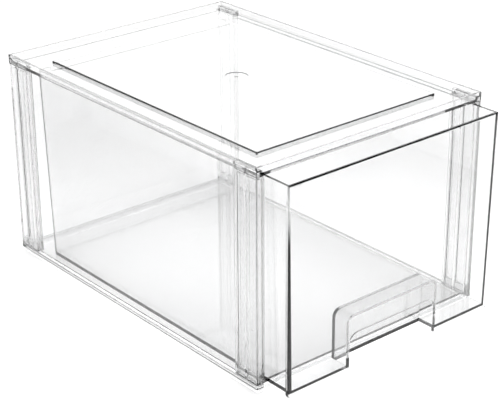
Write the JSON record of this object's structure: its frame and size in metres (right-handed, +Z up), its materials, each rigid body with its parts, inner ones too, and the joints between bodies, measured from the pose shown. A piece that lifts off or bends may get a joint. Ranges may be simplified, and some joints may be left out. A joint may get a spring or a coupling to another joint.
{
  "type": "drawer shoe box",
  "caption": "Clear stackable shoe box: a knock-down case of moulded panels on hollow corner posts, with a slide-out drawer and a finger pull.",
  "frame": {"origin": "under the middle of the whole box on the surface it stands on, with the drawer out as at rest", "axes": "+Z up; +Y from the drawer's front to the back panel; the drawer opens towards -Y; +X to the right as seen from the front's own side"},
  "size_m": [0.2428, 0.3638, 0.1922],
  "materials": {
    "clear_case": "polished clear moulding",
    "clear_drawer": "polished clear moulding"
  },
  "bodies": {
    "case": {"top_panel": "clear_case", "base_panel": "clear_case", "left_side_panel": "clear_case", "right_side_panel": "clear_case", "back_panel": "clear_case"},
    "drawer": {"drawer": "clear_drawer"}
  },
  "joints": [
    {"name": "drawer_slide", "type": "slide", "parent": "case", "child": "drawer", "axis": [0, -1, 0], "range_m": [-0.0267, 0.235]}
  ]
}
